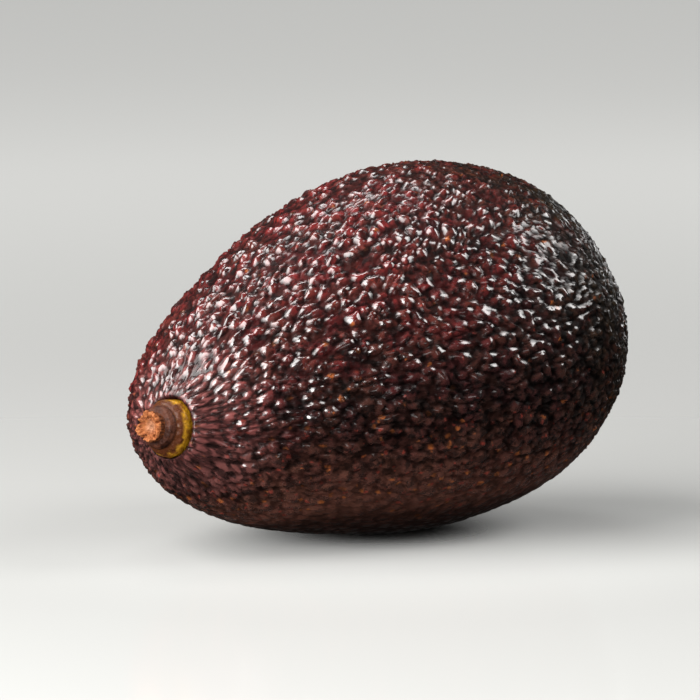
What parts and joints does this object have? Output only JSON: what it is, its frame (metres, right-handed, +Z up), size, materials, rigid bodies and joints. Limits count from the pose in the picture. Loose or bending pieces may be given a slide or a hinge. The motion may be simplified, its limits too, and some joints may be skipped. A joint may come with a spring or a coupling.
{
  "type": "avocado",
  "caption": "Whole dark pebbly-skinned avocado with the stub of its stalk, lying on its side on a small flat spot of its belly.",
  "frame": {"origin": "centre of the small flat spot that the fruit rests on", "axes": "+Z up; +X towards the blossom end, under the fruit's long axis, which rises about 21 degrees from the stem end; the stem end is towards -X"},
  "size_m": [0.1018, 0.0692, 0.0641],
  "materials": {
    "skin": "waxy, pebbled, semi-gloss",
    "stub_wood": "dry, matt, fibrous"
  },
  "bodies": {
    "root": {"fruit": "skin", "stem_button": "stub_wood"}
  },
  "joints": []
}
